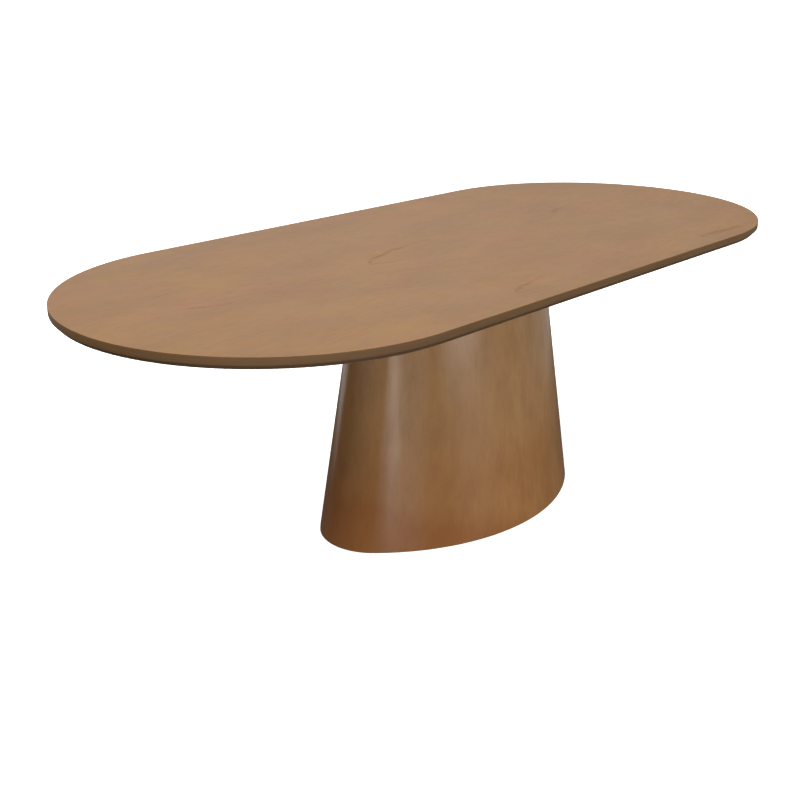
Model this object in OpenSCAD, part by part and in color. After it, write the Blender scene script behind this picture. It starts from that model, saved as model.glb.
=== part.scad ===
// Oval dining table: a thin veneered top with round ends and an undercut edge,
// bolted to one hollow oval pedestal that narrows towards the top.
// The pedestal is built up as two bent half shells on oval formers and leaning ribs.
// Millimetres. Origin on the floor under the middle, X along the length, Z up.

/* [Table] */
// Length of the top
table_l = 2310; // [2100:10:2600]
// Width of the top, which is also twice the radius of its ends
table_w = 1040; // [960:5:1160]
// Height of the top face above the floor
table_h = 750; // [700:5:780]

/* [Top] */
// Height of the upright band of the edge
edge_band_h = 18; // [15:0.5:26]
// Height of the undercut bevel below the band
bevel_h = 10; // [7:0.5:14]
// How far the bevel goes in under the edge
bevel_in = 9; // [6:0.5:14]
// Width of the solid wood lipping round the core
lipping_w = 20; // [17:1:30]
// Thickness of every veneer
veneer_t = 0.6; // [0.5:0.1:1]

/* [Stiffeners] */
// Length of the steel channels let into the underside
channel_l = 1700; // [1400:10:1900]
// Width of a channel
channel_w = 40; // [30:1:50]
// Depth of a channel
channel_d = 15; // [10:0.5:17]
// Wall of a channel
channel_wall = 2.5; // [2:0.1:3]
// Distance of a channel from the long centre line
channel_y = 125; // [110:1:135]
// Number of screws in each channel
channel_screws = 6; // [4:1:8]

/* [Pedestal] */
// Length of the pedestal at the floor
oval_l = 938; // [880:1:980]
// Width of the pedestal at the floor
oval_w = 576; // [560:1:620]
// Radius of the pedestal's round ends at the floor
oval_end_r = 150; // [146:1:170]
// Size of the pedestal under the top, as a share of its size at the floor
taper = 0.709; // [0.69:0.001:0.74]
// Gap between the shells and the floor
floor_gap = 2; // [1:0.5:5]
// Thickness of the bent half shells, measured level
shell_t = 14; // [10:0.5:16]

/* [Formers] */
// Thickness of the head plate
head_plate_t = 25; // [18:1:30]
// Thickness of the ring half way up
mid_former_t = 18; // [15:1:22]
// Width of the ring half way up
mid_former_w = 80; // [74:1:90]
// Thickness of the ring at the foot
base_former_t = 25; // [20:1:28]
// Width of the ring at the foot
base_former_w = 110; // [95:1:115]

/* [Ribs] */
// Thickness of a rib
rib_t = 18; // [15:1:22]
// Width of a rib
rib_w = 70; // [60:1:72]
// Distance of the four side ribs from the middle of the length
rib_x = 150; // [120:1:165]

/* [Fasteners] */
// Distance of the outer table bolts from the middle of the length
bolt_x = 200; // [190:1:215]
// Distance of the table bolts from the long centre line
bolt_y = 60; // [40:1:65]
// Diameter of a table bolt
bolt_d = 8; // [6:1:8]
// Diameter of a bolt's washer
washer_d = 24; // [20:1:26]
// Thickness of a washer
washer_t = 1.6; // [1:0.1:2]
// Outer diameter of a threaded insert
insert_d = 12; // [11:0.5:14]
// Diameter of a wood screw
screw_d = 4.5; // [3.5:0.5:5]
// Length of the screws that hold the ribs
rib_screw_l = 60; // [50:5:70]
// Core left above the tips of screws and inserts
tip_cover = 6; // [4:0.5:7]

/* [Feet] */
// Diameter of a foot pad
pad_d = 40; // [30:1:50]
// Height of a foot pad
pad_h = 8; // [7:0.5:12]
// Diameter of a foot's stud
stud_d = 8; // [6:1:8]
// Length of a stud above its pad
stud_l = 32; // [30:1:40]
// Distance of the corner feet from the middle of the length
foot_x = 300; // [270:1:320]
// Distance from the outside of the pedestal at the floor to the middle of a foot
foot_in = 65; // [55:1:75]

/* [Hidden] */
$fn = 96;

// Top, from the face down
top_t = edge_band_h + bevel_h;
under_z = table_h - top_t;
core_t = top_t - 2 * veneer_t;
core_z = under_z + veneer_t;
end_r = table_w / 2;
end_x = table_l / 2 - end_r;

// Clearances: the glue line under the wrap of veneer, other glued joints, ribs against the curved shells,
// threads in their bores and bolts in their holes
veneer_gap = 0.05;
glue_gap = 0.2;
rib_gap = 0.5;
thread_gap = 0.05;
drill_gap = 0.5;
// How far a cut runs on past the face that it opens
cut = 1;

// The pedestal's outline is an oval of four arcs, two flat ones along the sides and two round ends
half_l = oval_l / 2;
half_w = oval_w / 2;
side_r = (half_l * half_l + half_w * half_w - 2 * half_l * oval_end_r) / (2 * (half_w - oval_end_r));
side_c = side_r - half_w;
end_c = half_l - oval_end_r;
// Direction from the middle of a side arc to the middle of an end arc, where the arcs meet
meet = atan2(side_c, end_c);
// Flats per quarter of the oval
end_steps = 10;
side_steps = 14;

// Insets from the outside of the pedestal to the shells, their inside and the formers
shell_in = veneer_t + veneer_gap;
cavity_in = shell_in + shell_t;
former_in = cavity_in + glue_gap;
rib_in = cavity_in + rib_gap;

// Levels inside the pedestal
base_z = pad_h;
rib_z0 = base_z + base_former_t;
rib_z1 = under_z - head_plate_t;
mid_z = (rib_z0 + rib_z1 - mid_former_t) / 2;

// Screws, with the usual proportions of a countersunk head and a point
head_d = 2 * screw_d;
head_h = (head_d - screw_d) / 2;
tip_l = screw_d;
tip_d = screw_d / 4;
channel_screw_l = top_t - veneer_t - tip_cover;

// Table bolts, with the usual proportions of a hexagon head
insert_l = core_t - tip_cover;
bolt_head_h = 0.65 * bolt_d;
bolt_head_af = 1.6 * bolt_d;
bolt_tip_gap = 3;
bolt_l = washer_t + head_plate_t + veneer_t + insert_l - bolt_tip_gap;
bolt_hole_d = bolt_d + 2 * drill_gap;

// Feet: how deep a stud sits in its pad, and the chamfer under the pad
stud_hold = 5;
pad_chamfer = 2.5;

// Outline of the pedestal

function scale_at(z) = 1 - (1 - taper) * z / under_z;

// On an end arc the outline faces nearly along X, and elsewhere it is on a side arc.
// Both arcs pass through the point where they meet, so it may count as either.
function on_end(t) = abs(cos(t)) > cos(meet);

function arc_centre(t) = on_end(t) ? [sign(cos(t)) * end_c, 0] : [0, -sign(sin(t)) * side_c];

function arc_radius(t) = on_end(t) ? oval_end_r : side_r;

// Point of the outline at height z that faces direction t, moved in by inset
function oval_point(t, z, inset) =
    scale_at(z) * arc_centre(t) + (scale_at(z) * arc_radius(t) - inset) * [cos(t), sin(t)];

quarter = concat(
    [for (i = [0 : end_steps]) meet * i / end_steps],
    [for (i = [1 : side_steps]) meet + (90 - meet) * i / side_steps]);
rear_half = concat(quarter, [for (i = [len(quarter) - 2 : -1 : 0]) 180 - quarter[i]]);
front_half = [for (t = rear_half) t + 180];
all_round = [for (h = [rear_half, front_half]) for (i = [0 : len(h) - 2]) h[i]];

function outline(turns, z, inset) = [for (t = turns) oval_point(t, z, inset)];

function at_height(points, z) = [for (p = points) [p.x, p.y, z]];

// Distance from the centre line to a side arc at x, and from the middle to an end arc at y
function side_y(x, z, inset) =
    sqrt(pow(scale_at(z) * side_r - inset, 2) - x * x) - scale_at(z) * side_c;

function end_reach(y, z, inset) =
    scale_at(z) * end_c + sqrt(pow(scale_at(z) * oval_end_r - inset, 2) - y * y);

// Outer edge of the ribs at their foot and head, measured out from the middle
function side_rib_edge(z) = side_y(rib_x + rib_t / 2, z, rib_in);

function end_rib_edge(z) = end_reach(rib_t / 2, z, rib_in);

side_rib = [side_rib_edge(rib_z0), side_rib_edge(rib_z1)];
end_rib = [end_rib_edge(rib_z0), end_rib_edge(rib_z1)];

// Middle of a rib's width at height z
function rib_middle(edge, z) =
    edge[0] + (edge[1] - edge[0]) * (z - rib_z0) / (rib_z1 - rib_z0) - rib_w / 2;

// Middles of the six feet
foot_side_y = side_y(foot_x, 0, foot_in);
foot_mid_y = side_y(0, 0, foot_in);

// Colours
face_brown = "#a88464";
edge_brown = "#6a4e32";
pedestal_brown = "#8c6440";
board_tan = "#b99567";
ply_tan = "#c9a979";
steel_grey = "#8e9196";
brass_yellow = "#b59a55";
pad_black = "#2a2a2a";

// Flat oval outline with straight sides and half round ends, drawn in from the edge by inset
module stadium(inset) {
    for (side = [-1, 1]) translate([side * end_x, 0]) circle(r = end_r - inset);
    square([2 * end_x, 2 * (end_r - inset)], center = true);
}

// Band that follows the oval. Each row of points is the outline of one corner of its section:
// outside low, outside high, inside high and inside low.
module band(rows, closed) {
    n = len(rows[0]);
    last = n - 1;
    steps = closed ? n : last;
    polyhedron(
        points = [for (row = rows) each row],
        faces = concat(
            [for (c = [0 : 3], i = [0 : steps - 1])
                let (d = (c + 1) % 4, j = (i + 1) % n) [c * n + i, d * n + i, d * n + j, c * n + j]],
            closed ? [] : [[3 * n, 2 * n, n, 0], [last, n + last, 2 * n + last, 3 * n + last]]));
}

// Leaning wall of the pedestal, from the floor gap up to the underside of the top
module wall(turns, outer, inner, closed = false) {
    band([
        at_height(outline(turns, floor_gap, outer), floor_gap),
        at_height(outline(turns, under_z, outer), under_z),
        at_height(outline(turns, under_z, inner), under_z),
        at_height(outline(turns, floor_gap, inner), floor_gap)], closed);
}

// Oval plate that fills the pedestal between two levels
module former_plate(z, t) {
    n = len(all_round);
    polyhedron(
        points = concat(
            at_height(outline(all_round, z, former_in), z),
            at_height(outline(all_round, z + t, former_in), z + t)),
        faces = concat(
            [[for (i = [0 : n - 1]) i]],
            [[for (i = [n - 1 : -1 : 0]) n + i]],
            [for (i = [0 : n - 1]) let (j = (i + 1) % n) [i, n + i, n + j, j]]));
}

// Oval ring whose edge leans with the shells and whose opening is cut square
module former_ring(z, t, w) {
    opening = outline(all_round, z + t, former_in + w);
    band([
        at_height(outline(all_round, z, former_in), z),
        at_height(outline(all_round, z + t, former_in), z + t),
        at_height(opening, z + t),
        at_height(opening, z)], closed = true);
}

// Countersunk wood screw standing on its head, with its tip up
module screw(l) {
    rotate_extrude() polygon([
        [0, 0],
        [head_d / 2, 0],
        [screw_d / 2, head_h],
        [screw_d / 2, l - tip_l],
        [tip_d / 2, l],
        [0, l]]);
}

// Hole for such a screw, open below its head
module screw_hole(l) {
    head_r = head_d / 2 + thread_gap;
    shank_r = screw_d / 2 + thread_gap;
    rotate_extrude() polygon([
        [0, -cut],
        [head_r, -cut],
        [head_r, 0],
        [shank_r, head_h],
        [shank_r, l + thread_gap],
        [0, l + thread_gap]]);
}

// Threaded insert: a sleeve that glues into its hole
module insert(l, d) {
    difference() {
        cylinder(h = l, d = insert_d);
        translate([0, 0, -cut]) cylinder(h = l + 2 * cut, d = d + 2 * thread_gap);
    }
}

module insert_hole(l) {
    translate([0, 0, -cut]) cylinder(h = l + cut, d = insert_d + 2 * thread_gap);
}

// Places of what repeats
module at_bolts(z) {
    for (x = [-bolt_x, 0, bolt_x], y = [-bolt_y, bolt_y]) translate([x, y, z]) children();
}

module at_channel_screws(side) {
    reach = channel_l - 2 * channel_w;
    for (i = [0 : channel_screws - 1])
        translate([reach * (i / (channel_screws - 1) - 0.5), side * channel_y, under_z]) children();
}

module at_foot(x, y) {
    translate([x * foot_x, y * (x == 0 ? foot_mid_y : foot_side_y), 0]) children();
}

module at_feet() {
    for (x = [-1, 0, 1], y = [-1, 1]) at_foot(x, y) children();
}

// A rib is drawn along +X and turned to its place
module at_side_rib(x, y) {
    translate([x * rib_x, 0, 0]) rotate(y * 90) children();
}

module at_end_rib(x) {
    rotate(x > 0 ? 0 : 180) children();
}

// Both screws of a rib: one up through the foot ring and one down through the head plate
module at_rib_screws(edge) {
    translate([rib_middle(edge, rib_z0), 0, base_z]) children();
    translate([rib_middle(edge, rib_z1), 0, under_z]) mirror([0, 0, 1]) children();
}

module at_all_rib_screws() {
    for (x = [-1, 1], y = [-1, 1]) at_side_rib(x, y) at_rib_screws(side_rib) children();
    for (x = [-1, 1]) at_end_rib(x) at_rib_screws(end_rib) children();
}

// Top
module top_veneer() {
    color(face_brown) translate([0, 0, table_h - veneer_t]) linear_extrude(veneer_t) stadium(0);
}

module channel_groove(side) {
    translate([0, side * channel_y, under_z])
        cube([channel_l + 2 * glue_gap, channel_w + 2 * glue_gap, 2 * (channel_d + glue_gap)], center = true);
}

module top_core() {
    color(board_tan) difference() {
        translate([0, 0, core_z]) linear_extrude(core_t) stadium(lipping_w);
        for (side = [-1, 1]) {
            channel_groove(side);
            at_channel_screws(side) screw_hole(channel_screw_l);
        }
        at_bolts(core_z) insert_hole(insert_l);
    }
}

module backing_veneer() {
    color(board_tan) difference() {
        translate([0, 0, under_z]) linear_extrude(veneer_t) stadium(bevel_in);
        for (side = [-1, 1]) channel_groove(side);
        at_bolts(under_z - cut) cylinder(h = veneer_t + 2 * cut, d = bolt_hole_d);
    }
}

// Section of the lipping, with its outer face at out and the bevel cut under it
module lipping_section(out) {
    polygon([
        [out, table_h - veneer_t],
        [out - lipping_w, table_h - veneer_t],
        [out - lipping_w, core_z],
        [out - bevel_in, core_z],
        [out, table_h - edge_band_h]]);
}

module lipping_straight(side) {
    color(edge_brown) mirror([0, side > 0 ? 1 : 0, 0])
        rotate([90, 0, -90]) translate([0, 0, -end_x]) linear_extrude(2 * end_x) lipping_section(end_r);
}

module lipping_end(side) {
    color(edge_brown) mirror([side > 0 ? 0 : 1, 0, 0]) translate([end_x, 0, 0])
        rotate(-90) rotate_extrude(angle = 180) lipping_section(end_r);
}

module lipping_front() lipping_straight(-1);
module lipping_rear() lipping_straight(1);
module lipping_left() lipping_end(-1);
module lipping_right() lipping_end(1);

// Steel channel with its web flush with the underside and its flanges up in the groove
module channel(side) {
    color(steel_grey) difference() {
        translate([-channel_l / 2, side * channel_y - channel_w / 2, under_z]) cube([channel_l, channel_w, channel_d]);
        translate([-channel_l / 2 - cut, side * channel_y - channel_w / 2 + channel_wall, under_z + channel_wall])
            cube([channel_l + 2 * cut, channel_w - 2 * channel_wall, channel_d]);
        at_channel_screws(side) screw_hole(channel_screw_l);
    }
}

module channel_front() channel(-1);
module channel_rear() channel(1);

module channel_screws_set() {
    color(steel_grey) for (side = [-1, 1]) at_channel_screws(side) screw(channel_screw_l);
}

module top_inserts() {
    color(brass_yellow) at_bolts(core_z) insert(insert_l, bolt_d);
}

// Pedestal walls: two bent half shells that meet at the ribs of the ends, in one wrap of veneer
module pedestal_veneer() color(pedestal_brown) wall(all_round, 0, veneer_t, closed = true);
module shell_front() color(ply_tan) wall(front_half, shell_in, cavity_in);
module shell_rear() color(ply_tan) wall(rear_half, shell_in, cavity_in);

// Plate and rings inside the pedestal
module head_plate() {
    color(board_tan) difference() {
        former_plate(under_z - head_plate_t, head_plate_t);
        at_bolts(under_z - head_plate_t - cut) cylinder(h = head_plate_t + 2 * cut, d = bolt_hole_d);
        at_all_rib_screws() screw_hole(rib_screw_l);
    }
}

// Half of the halving joint that is cut in the ring: a slot from its opening to the middle of the rib
module ring_notch(edge) {
    middle = rib_middle(edge, mid_z + mid_former_t / 2);
    translate([middle - mid_former_w, -rib_t / 2 - glue_gap, mid_z - cut])
        cube([mid_former_w + glue_gap, rib_t + 2 * glue_gap, mid_former_t + 2 * cut]);
}

module mid_former() {
    color(board_tan) difference() {
        former_ring(mid_z, mid_former_t, mid_former_w);
        for (x = [-1, 1], y = [-1, 1]) at_side_rib(x, y) ring_notch(side_rib);
        for (x = [-1, 1]) at_end_rib(x) ring_notch(end_rib);
    }
}

module base_former() {
    color(board_tan) difference() {
        former_ring(base_z, base_former_t, base_former_w);
        at_feet() translate([0, 0, base_z]) insert_hole(base_former_t + cut);
        at_all_rib_screws() screw_hole(rib_screw_l);
    }
}

// Leaning rib whose outer edge follows the shell, with the other half of the halving joint in that edge
module rib(edge) {
    middle = rib_middle(edge, mid_z + mid_former_t / 2);
    color(ply_tan) difference() {
        rotate([90, 0, 0]) translate([0, 0, -rib_t / 2]) linear_extrude(rib_t) polygon([
            [edge[0] - rib_w, rib_z0],
            [edge[0], rib_z0],
            [edge[1], rib_z1],
            [edge[1] - rib_w, rib_z1]]);
        translate([middle, -rib_t, mid_z - glue_gap]) cube([rib_w, 2 * rib_t, mid_former_t + 2 * glue_gap]);
        at_rib_screws(edge) screw_hole(rib_screw_l);
    }
}

module rib_front_left() at_side_rib(-1, -1) rib(side_rib);
module rib_front_right() at_side_rib(1, -1) rib(side_rib);
module rib_rear_left() at_side_rib(-1, 1) rib(side_rib);
module rib_rear_right() at_side_rib(1, 1) rib(side_rib);
module rib_left() at_end_rib(-1) rib(end_rib);
module rib_right() at_end_rib(1) rib(end_rib);

// Fasteners of the pedestal
module rib_screws() {
    color(steel_grey) at_all_rib_screws() screw(rib_screw_l);
}

// Hexagon bolts that go up through the head plate into the inserts of the top
module table_bolts() {
    color(steel_grey) at_bolts(under_z - head_plate_t - washer_t) {
        translate([0, 0, -bolt_head_h]) cylinder(h = bolt_head_h, d = bolt_head_af / cos(30), $fn = 6);
        cylinder(h = bolt_l, d = bolt_d);
    }
}

module bolt_washers() {
    color(steel_grey) at_bolts(under_z - head_plate_t - washer_t) difference() {
        cylinder(h = washer_t, d = washer_d);
        translate([0, 0, -cut]) cylinder(h = washer_t + 2 * cut, d = bolt_d + 2 * thread_gap);
    }
}

module foot_inserts() {
    color(brass_yellow) at_feet() translate([0, 0, base_z]) insert(base_former_t, stud_d);
}

// Levelling feet, screwed right in: each pad lies against the foot ring
module stud(x, y) {
    color(steel_grey) at_foot(x, y) translate([0, 0, pad_h - stud_hold])
        cylinder(h = stud_hold + stud_l, d = stud_d);
}

module pad(x, y) {
    color(pad_black) at_foot(x, y) difference() {
        rotate_extrude() polygon([
            [0, 0],
            [pad_d / 2 - pad_chamfer, 0],
            [pad_d / 2, pad_chamfer],
            [pad_d / 2, pad_h],
            [0, pad_h]]);
        translate([0, 0, pad_h - stud_hold]) cylinder(h = stud_hold + cut, d = stud_d + 2 * thread_gap);
    }
}

module stud_front_left() stud(-1, -1);
module stud_front_middle() stud(0, -1);
module stud_front_right() stud(1, -1);
module stud_rear_left() stud(-1, 1);
module stud_rear_middle() stud(0, 1);
module stud_rear_right() stud(1, 1);
module pad_front_left() pad(-1, -1);
module pad_front_middle() pad(0, -1);
module pad_front_right() pad(1, -1);
module pad_rear_left() pad(-1, 1);
module pad_rear_middle() pad(0, 1);
module pad_rear_right() pad(1, 1);

top_veneer();
top_core();
backing_veneer();
lipping_front();
lipping_rear();
lipping_left();
lipping_right();
channel_front();
channel_rear();
channel_screws_set();
top_inserts();
pedestal_veneer();
shell_front();
shell_rear();
head_plate();
mid_former();
base_former();
rib_front_left();
rib_front_right();
rib_rear_left();
rib_rear_right();
rib_left();
rib_right();
rib_screws();
table_bolts();
bolt_washers();
foot_inserts();
stud_front_left();
stud_front_middle();
stud_front_right();
stud_rear_left();
stud_rear_middle();
stud_rear_right();
pad_front_left();
pad_front_middle();
pad_front_right();
pad_rear_left();
pad_rear_middle();
pad_rear_right();
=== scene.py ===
"""Oval dining table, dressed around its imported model.

Sizes are in metres, in the model's own frame: the origin is on the floor under the middle of the top, X
runs along the table, Y to the rear and Z up. Every new piece is a section carried round an outline or a
turned profile, at its own place on the table.
"""
import math
from collections import namedtuple
import bmesh
import bpy
import numpy as np
from bpy.props import FloatProperty, FloatVectorProperty, PointerProperty
from bpy.types import Operator, Panel, PropertyGroup
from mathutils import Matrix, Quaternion, Vector


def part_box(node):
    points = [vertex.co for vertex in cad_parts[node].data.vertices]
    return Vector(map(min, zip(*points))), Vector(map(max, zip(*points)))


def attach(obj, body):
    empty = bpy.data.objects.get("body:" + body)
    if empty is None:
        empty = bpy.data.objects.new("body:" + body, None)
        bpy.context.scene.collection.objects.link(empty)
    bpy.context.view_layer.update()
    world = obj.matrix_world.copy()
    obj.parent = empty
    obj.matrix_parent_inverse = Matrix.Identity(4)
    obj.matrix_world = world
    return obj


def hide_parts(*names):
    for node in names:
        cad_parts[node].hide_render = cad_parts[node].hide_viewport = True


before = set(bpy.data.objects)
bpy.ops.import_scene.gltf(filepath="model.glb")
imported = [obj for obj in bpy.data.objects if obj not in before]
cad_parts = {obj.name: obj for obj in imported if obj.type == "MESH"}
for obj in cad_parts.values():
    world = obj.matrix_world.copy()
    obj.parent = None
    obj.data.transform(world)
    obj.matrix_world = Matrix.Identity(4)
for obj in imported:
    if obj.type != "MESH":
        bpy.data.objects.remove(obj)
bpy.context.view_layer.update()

bl_info = {
    "name": "Oval Dining Table",
    "version": (1, 0, 0),
    "blender": (4, 5, 0),
    "location": "View3D > Sidebar > Table",
    "description": "Veneered oval dining table on a hollow tapered pedestal",
    "category": "Object",
}

TOP_LOW, TOP_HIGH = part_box("top_veneer")
BAND_LOW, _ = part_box("lipping_front")
OVAL_LOW, OVAL_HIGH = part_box("pedestal_veneer")
FEET = ("front_left", "front_middle", "front_right", "rear_left", "rear_middle", "rear_right")


# Sizes and colours that a user may change


def setting_of(kind, **fixed):
    """Maker of the properties of one kind, from a name, a description and a default."""

    def setting(name, description, default):
        return kind(name=name, description=description, default=default, **fixed)

    return setting


metres = setting_of(FloatProperty, unit="LENGTH")
factor = setting_of(FloatProperty, subtype="FACTOR")
tint = setting_of(FloatVectorProperty, subtype="COLOR")
point = setting_of(FloatVectorProperty, subtype="TRANSLATION")
focal_length = setting_of(FloatProperty, unit="CAMERA")


class TopSizes(PropertyGroup):
    """Sizes of the table top."""

    length: metres("Length", "Length of the top", TOP_HIGH.x - TOP_LOW.x)
    width: metres("Width", "Width of the top and of its round ends", TOP_HIGH.y - TOP_LOW.y)
    height: metres("Height", "Height of the top face above the floor", TOP_HIGH.z)
    veneer: metres("Veneer", "Thickness of the face veneer", TOP_HIGH.z - TOP_LOW.z)
    lipping: metres("Lipping", "Width of the solid wood lipping", 0.020)
    foot: metres("Lipping Foot", "Height of the lipping's lowest edge", BAND_LOW.z)
    band: metres("Band", "Height of the upright band of the edge", 0.018)
    undercut: metres("Undercut", "How far the bevel goes in under the edge", 0.009)
    arris: metres("Arris", "Radius of the softened upper arris", 0.0012)
    soft: metres("Soft Corner", "Radius of the softened lower corners", 0.0009)


class PedestalSizes(PropertyGroup):
    """Sizes of the hollow pedestal."""

    length: metres("Length", "Length of the oval at the floor", 0.938)
    width: metres("Width", "Width of the oval at the floor", 0.576)
    end_radius: metres("End Radius", "Radius of the oval's round ends at the floor", 0.150)
    taper: factor("Taper", "Size under the top as a share of the size at the floor", 0.709)
    foot: metres("Floor Gap", "Gap between the wall and the floor", OVAL_LOW.z)
    head: metres("Head", "Height of the wall's upper end", OVAL_HIGH.z)
    veneer: metres("Veneer", "Thickness of the wrap of veneer", 0.0006)
    glue: metres("Glue Line", "Glue line under the veneer", 0.00005)
    shell: metres("Shell", "Thickness of the bent half shells", 0.014)


class FastenerSizes(PropertyGroup):
    """Sizes of the bolts and the levelling feet."""

    bolt: metres("Bolt", "Diameter of a table bolt", 0.008)
    bolt_head: metres("Bolt Head", "Height of a bolt's hexagon head", 0.0052)
    bolt_flats: metres("Across Flats", "Width of a bolt's head across its flats", 0.0128)
    stud: metres("Stud", "Diameter of a foot's stud", 0.008)
    pitch: metres("Pitch", "Pitch of the stud's thread", 0.00125)
    thread: metres("Thread", "Depth of the stud's thread", 0.0006)
    pad_chamfer: metres("Pad Chamfer", "Chamfer under a foot's pad", 0.0025)


class Finishes(PropertyGroup):
    """Colours of the finishes."""

    top_amber: tint("Top, Amber", "Warmer tone of the top's veneer", (0.255, 0.123, 0.025))
    top_grey: tint("Top, Grey", "Greyer tone of the top's veneer", (0.233, 0.116, 0.036))
    top_rose: tint("Top, Rose", "Redder tone of the top's veneer", (0.269, 0.106, 0.032))
    top_dark: tint("Top, Dark Grain", "Dark lines and clouds of its grain", (0.15, 0.066, 0.016))
    top_mark: tint("Top, Marks", "Dark streaks at the tips of the figure", (0.168, 0.06, 0.003))
    edge: tint("Edge", "Stained wood of the lipping", (0.166, 0.09, 0.037))
    edge_dark: tint("Edge, Dark Grain", "Dark lines of the lipping", (0.11, 0.056, 0.022))
    pedestal: tint("Pedestal", "Amber tone of the pedestal's veneer", (0.565, 0.303, 0.112))
    # Red share of the pedestal: partly its own tone, partly painted shade and warm bounce light at the foot
    # and on the left
    pedestal_red_and_shade: tint("Pedestal, Red", "Redder tone towards the floor", (0.322, 0.127, 0.039))
    pedestal_dark: tint("Pedestal, Dark Grain", "Dark lines of its grain", (0.2, 0.075, 0.02))
    backing: tint("Backing", "Plain veneer under the top", (0.29, 0.18, 0.092))
    board: tint("Board", "Bare fibreboard", (0.42, 0.29, 0.16))
    ply: tint("Plywood", "Face plies of the plywood", (0.56, 0.39, 0.22))
    ply_cross: tint("Cross Plies", "End grain of the cross plies", (0.33, 0.2, 0.1))
    steel: tint("Steel", "Zinc plated steel", (0.56, 0.575, 0.6))
    brass: tint("Brass", "Bare brass", (0.64, 0.45, 0.18))
    plastic: tint("Pad Plastic", "Plastic of the foot pads", (0.018, 0.018, 0.019))


class Studio(PropertyGroup):
    """Camera, floor and lights."""

    camera_from: point("Camera From", "Place of the camera", (-2.2916, -1.9383, 1.4230))
    camera_at: point("Camera At", "Point that the camera looks at", (0.0229, 0.2206, 0.2278))
    lens: focal_length("Lens", "Focal length on a 36 mm sensor", 50.0)
    floor: tint("Floor", "Colour of the floor", (0.86, 0.86, 0.86))
    boxes: factor("Soft Boxes", "Strength of all the soft boxes together", 1.0)
    sky: factor("Surroundings", "Strength of the light from all round", 1.0)
    glow: factor("Floor Glow", "Light that the floor gives off of its own", 0.95)


# Outlines and sections

Outline = namedtuple("Outline", "middle radius facing run closed")


def distance_run(points, closed):
    """Distance from the first point to each of the others along their line, as a sum of steps."""
    line = np.vstack([points, points[:1]]) if closed else points
    steps = np.linalg.norm(np.diff(line, axis=0), axis=1)
    return np.concatenate([[0.0], np.cumsum(steps)])


def outline_of(middle, radius, facing, closed):
    """Outline whose points are middle + radius * facing, with the distance run along it."""
    radius = np.broadcast_to(radius, len(middle))
    run = distance_run(middle + radius[:, None] * facing, closed)
    return Outline(middle, radius, facing, run, closed)


def side_outline(top, side, steps=48):
    """Straight side of the top, rear for side 1 and front for side -1, run anticlockwise.

    The middle slides along the long centre line, and the facing stays.
    """
    radius = top.width / 2
    end = top.length / 2 - radius
    slide = -side * np.linspace(-end, end, steps + 1)
    middle = np.column_stack([slide, np.zeros_like(slide)])
    facing = np.tile([0.0, float(side)], (len(slide), 1))
    return outline_of(middle, radius, facing, closed=False)


def end_outline(top, side, steps=96):
    """Half circle at an end of the top, right for side 1 and left for side -1, run anticlockwise.

    The middle stays, and the facing turns.
    """
    radius = top.width / 2
    turn = np.linspace(-math.pi / 2, math.pi / 2, steps + 1)
    facing = side * np.column_stack([np.cos(turn), np.sin(turn)])
    middle = np.tile([side * (top.length / 2 - radius), 0.0], (len(turn), 1))
    return outline_of(middle, radius, facing, closed=False)


def top_outline(top):
    """Whole outline of the top: front side, right end, rear side and left end, one after another."""
    parts = [side_outline(top, -1), end_outline(top, 1), side_outline(top, 1), end_outline(top, -1)]
    middle = np.vstack([part.middle[:-1] for part in parts])
    facing = np.vstack([part.facing[:-1] for part in parts])
    return outline_of(middle, top.width / 2, facing, closed=True)


def oval_outline(pedestal, first, last, steps, closed):
    """Oval of four arcs at the floor, for facings that turn from first to last.

    The end arcs have the end radius and lie round points on the long centre line. The side arcs have the
    radius (a * a + b * b - 2 * a * r) / (2 * (b - r)) for half length a, half width b and end radius r, and
    lie round points on the short centre line. Arcs meet where both centres are in line with the facing.
    """
    half_length = pedestal.length / 2
    half_width = pedestal.width / 2
    small = pedestal.end_radius
    large = (half_length**2 + half_width**2 - 2 * half_length * small) / (2 * (half_width - small))
    end_middle = half_length - small
    side_middle = large - half_width
    meet = math.atan2(side_middle, end_middle)
    turn = np.linspace(first, last, steps + 1)
    turn = turn[:-1] if closed else turn
    facing = np.column_stack([np.cos(turn), np.sin(turn)])
    on_end = np.abs(facing[:, 0]) > math.cos(meet)
    middle = np.column_stack([
        np.where(on_end, np.sign(facing[:, 0]) * end_middle, 0.0),
        np.where(on_end, 0.0, -np.sign(facing[:, 1]) * side_middle),
    ])
    return outline_of(middle, np.where(on_end, small, large), facing, closed)


def carried(outline, inset, height, share):
    """Section carried round an outline, as a grid of points.

    The point at inset and height is share * middle + (share * radius - inset) * facing, where the share is
    the size of the outline at that height.
    """
    share = np.broadcast_to(share, inset.shape)
    reach = share * outline.radius[:, None] - inset
    middle = share[None, :, None] * outline.middle[:, None, :]
    flat = middle + reach[..., None] * outline.facing[:, None, :]
    return np.dstack([flat, np.broadcast_to(height, reach.shape)])


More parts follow.
